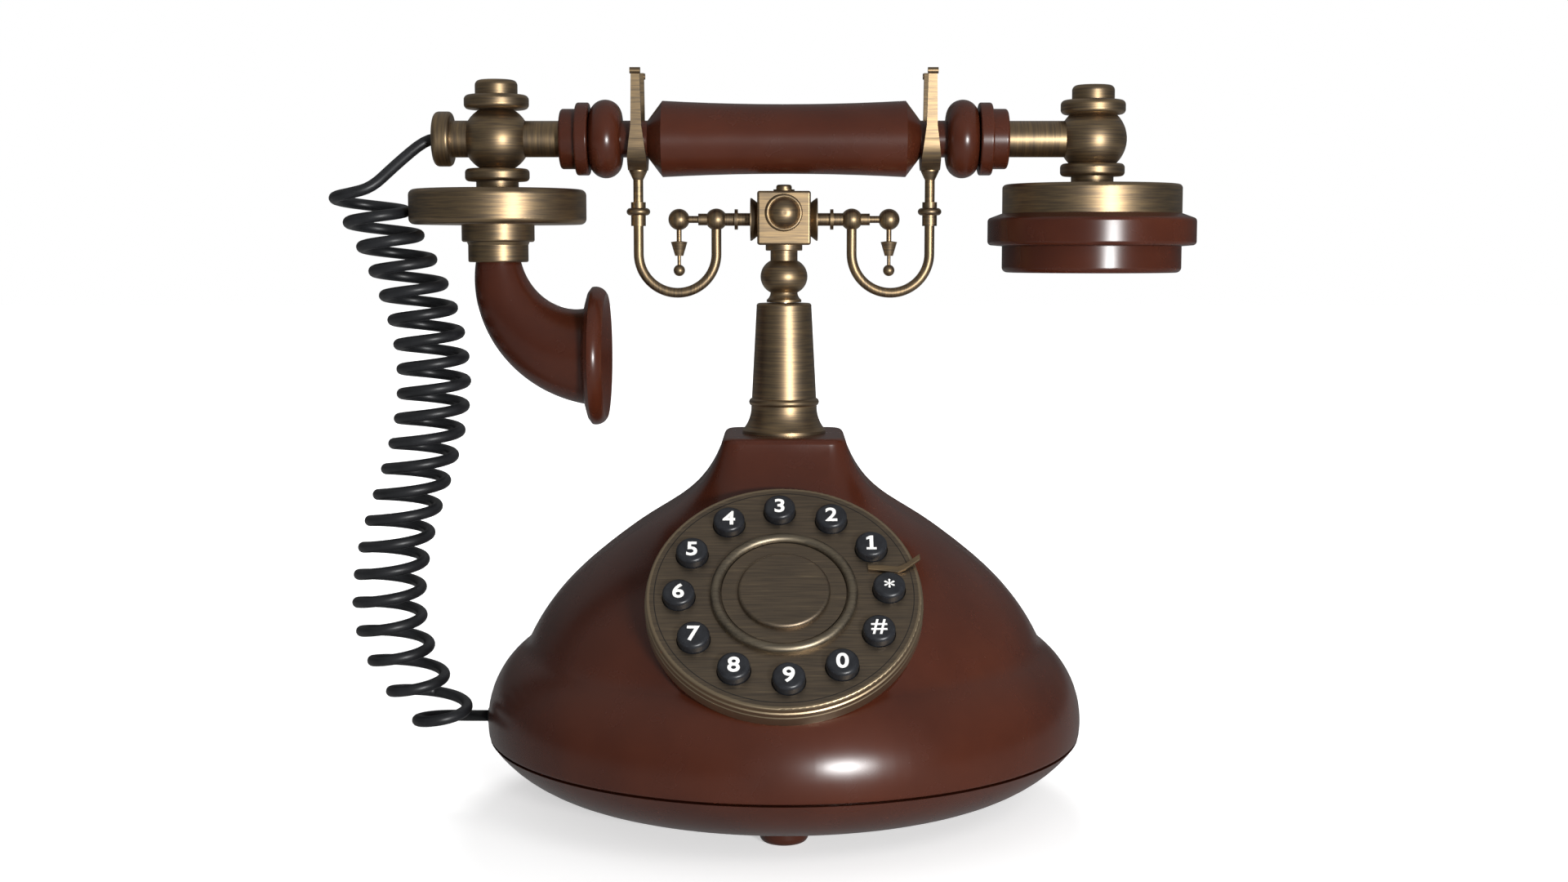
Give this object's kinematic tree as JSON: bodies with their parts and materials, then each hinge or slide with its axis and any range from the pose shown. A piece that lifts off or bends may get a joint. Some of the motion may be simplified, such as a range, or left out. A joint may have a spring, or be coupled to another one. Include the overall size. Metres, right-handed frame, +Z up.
{
  "type": "push-button telephone",
  "caption": "Antique-style table telephone with a domed base, ring of push buttons, brass column and cradle, horn handset and curly cord.",
  "frame": {"origin": "on the table under the column's axis", "axes": "+Z up the column, -Y to the front that the dial faces, +X along the handset to the receiver"},
  "size_m": [0.2937, 0.2034, 0.2474],
  "materials": {
    "lacquer": "high gloss lacquer, dark reddish brown",
    "antique_brass": "brushed and darkened",
    "key_plastic": "satin black",
    "steel": "zinc plated",
    "board": "circuit board",
    "black_plastic": "moulded",
    "rubber": "matte",
    "cord_sheath": "glossy black sheath"
  },
  "bodies": {
    "base": {"base_shell": "lacquer", "base_dish": "lacquer", "feet": "lacquer", "dial_plate": "antique_brass", "dial_centre_ring": "antique_brass", "dial_centre_disc": "antique_brass", "finger_stop": "antique_brass", "column": "antique_brass", "guide_bush": "antique_brass", "base_screws": "steel", "hook_spring": "steel", "column_nut": "steel", "switch_bracket": "steel", "ballast_plate": "steel", "main_board": "board", "keypad_board": "board", "ringer": "black_plastic", "line_jack": "black_plastic", "hook_switch": "black_plastic", "keypad_mat": "rubber", "cord_grommet": "rubber", "cord_upper_lead": "cord_sheath", "cord_curls": "cord_sheath", "cord_lower_lead": "cord_sheath"},
    "cradle": {"plunger_rod": "steel", "baluster": "antique_brass", "cradle_block": "antique_brass", "rosettes": "antique_brass", "top_finial": "antique_brass", "cradle_arms": "antique_brass", "drops": "antique_brass", "hook_tubes": "antique_brass", "fork_stems": "antique_brass", "forks": "antique_brass"},
    "handset": {"grip": "lacquer", "end_rings": "lacquer", "arm_tubes": "antique_brass", "ball_joints": "antique_brass", "top_caps": "antique_brass", "lower_collars": "antique_brass", "transmitter_disc": "antique_brass", "transmitter_collar": "antique_brass", "horn": "lacquer", "microphone": "black_plastic", "receiver_cup": "antique_brass", "receiver_cap": "lacquer", "speaker": "black_plastic", "cord_flange": "antique_brass"},
    "key_1_body": {"key_1": "key_plastic"},
    "key_2_body": {"key_2": "key_plastic"},
    "key_3_body": {"key_3": "key_plastic"},
    "key_4_body": {"key_4": "key_plastic"},
    "key_5_body": {"key_5": "key_plastic"},
    "key_6_body": {"key_6": "key_plastic"},
    "key_7_body": {"key_7": "key_plastic"},
    "key_8_body": {"key_8": "key_plastic"},
    "key_9_body": {"key_9": "key_plastic"},
    "key_0_body": {"key_0": "key_plastic"},
    "key_star_body": {"key_star": "key_plastic"},
    "key_hash_body": {"key_hash": "key_plastic"}
  },
  "joints": [
    {"name": "hook_travel", "type": "slide", "parent": "base", "child": "cradle", "axis": [0, 0, 1], "range_m": [0, 0.004], "stiffness_N_per_m": 100, "springref_m": 0.033, "deforming": ["hook_spring"]},
    {"name": "handset_lift", "type": "slide", "parent": "cradle", "child": "handset", "axis": [0, 0, 1], "range_m": [0, 0.1], "deforming": ["cord_upper_lead", "cord_curls", "cord_lower_lead"]},
    {"name": "key_1_press", "type": "slide", "parent": "base", "child": "key_1_body", "axis": [0, 0.682, -0.7314], "range_m": [0, 0.0015], "stiffness_N_per_m": 300, "springref_m": -0.001},
    {"name": "key_2_press", "type": "slide", "parent": "base", "child": "key_2_body", "axis": [0, 0.682, -0.7314], "range_m": [0, 0.0015], "stiffness_N_per_m": 300, "springref_m": -0.001},
    {"name": "key_3_press", "type": "slide", "parent": "base", "child": "key_3_body", "axis": [0, 0.682, -0.7314], "range_m": [0, 0.0015], "stiffness_N_per_m": 300, "springref_m": -0.001},
    {"name": "key_4_press", "type": "slide", "parent": "base", "child": "key_4_body", "axis": [0, 0.682, -0.7314], "range_m": [0, 0.0015], "stiffness_N_per_m": 300, "springref_m": -0.001},
    {"name": "key_5_press", "type": "slide", "parent": "base", "child": "key_5_body", "axis": [0, 0.682, -0.7314], "range_m": [0, 0.0015], "stiffness_N_per_m": 300, "springref_m": -0.001},
    {"name": "key_6_press", "type": "slide", "parent": "base", "child": "key_6_body", "axis": [0, 0.682, -0.7314], "range_m": [0, 0.0015], "stiffness_N_per_m": 300, "springref_m": -0.001},
    {"name": "key_7_press", "type": "slide", "parent": "base", "child": "key_7_body", "axis": [0, 0.682, -0.7314], "range_m": [0, 0.0015], "stiffness_N_per_m": 300, "springref_m": -0.001},
    {"name": "key_8_press", "type": "slide", "parent": "base", "child": "key_8_body", "axis": [0, 0.682, -0.7314], "range_m": [0, 0.0015], "stiffness_N_per_m": 300, "springref_m": -0.001},
    {"name": "key_9_press", "type": "slide", "parent": "base", "child": "key_9_body", "axis": [0, 0.682, -0.7314], "range_m": [0, 0.0015], "stiffness_N_per_m": 300, "springref_m": -0.001},
    {"name": "key_0_press", "type": "slide", "parent": "base", "child": "key_0_body", "axis": [0, 0.682, -0.7314], "range_m": [0, 0.0015], "stiffness_N_per_m": 300, "springref_m": -0.001},
    {"name": "key_star_press", "type": "slide", "parent": "base", "child": "key_star_body", "axis": [0, 0.682, -0.7314], "range_m": [0, 0.0015], "stiffness_N_per_m": 300, "springref_m": -0.001},
    {"name": "key_hash_press", "type": "slide", "parent": "base", "child": "key_hash_body", "axis": [0, 0.682, -0.7314], "range_m": [0, 0.0015], "stiffness_N_per_m": 300, "springref_m": -0.001}
  ]
}
